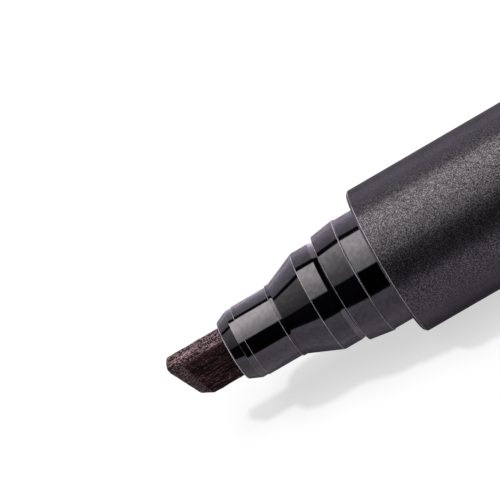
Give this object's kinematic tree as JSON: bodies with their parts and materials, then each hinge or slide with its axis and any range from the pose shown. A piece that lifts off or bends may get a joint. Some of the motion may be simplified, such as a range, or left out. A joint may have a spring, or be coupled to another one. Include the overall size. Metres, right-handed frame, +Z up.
{
  "type": "permanent marker",
  "caption": "Round permanent marker with a chisel point, a stepped glossy neck and a matt barrel, its clip cap posted on the rear end.",
  "frame": {"origin": "on the table, under the middle of the marker's outline, cap posted on the rear", "axes": "+X along the marker's axis from the point to the closed end of the posted cap, +Z up as the marker lies on its barrel and on the clip's edge, +Y towards the clip's side"},
  "size_m": [0.1522, 0.0192, 0.0162],
  "materials": {
    "barrel_plastic": "black moulded plastic with a fine spark-eroded grain",
    "neck_plastic": "black, polished",
    "nib_fibre": "pressed fibre soaked with black ink, grain along the bar",
    "reservoir_fibre": "soft fibre core soaked with black ink",
    "film_plastic": "thin clear film",
    "plug_plastic": "black, satin",
    "cap_plastic": "black, satin with fine rub marks",
    "liner_plastic": "milky soft plastic"
  },
  "bodies": {
    "marker": {"barrel": "barrel_plastic", "front_section": "neck_plastic", "nib": "nib_fibre", "ink_reservoir": "reservoir_fibre", "reservoir_film": "film_plastic", "rear_plug": "plug_plastic"},
    "cap": {"cap_shell": "cap_plastic", "inner_cap": "liner_plastic"}
  },
  "joints": [
    {"name": "cap_pull", "type": "slide", "parent": "marker", "child": "cap", "axis": [1, 0, 0], "range_m": [0, 0.03]}
  ]
}
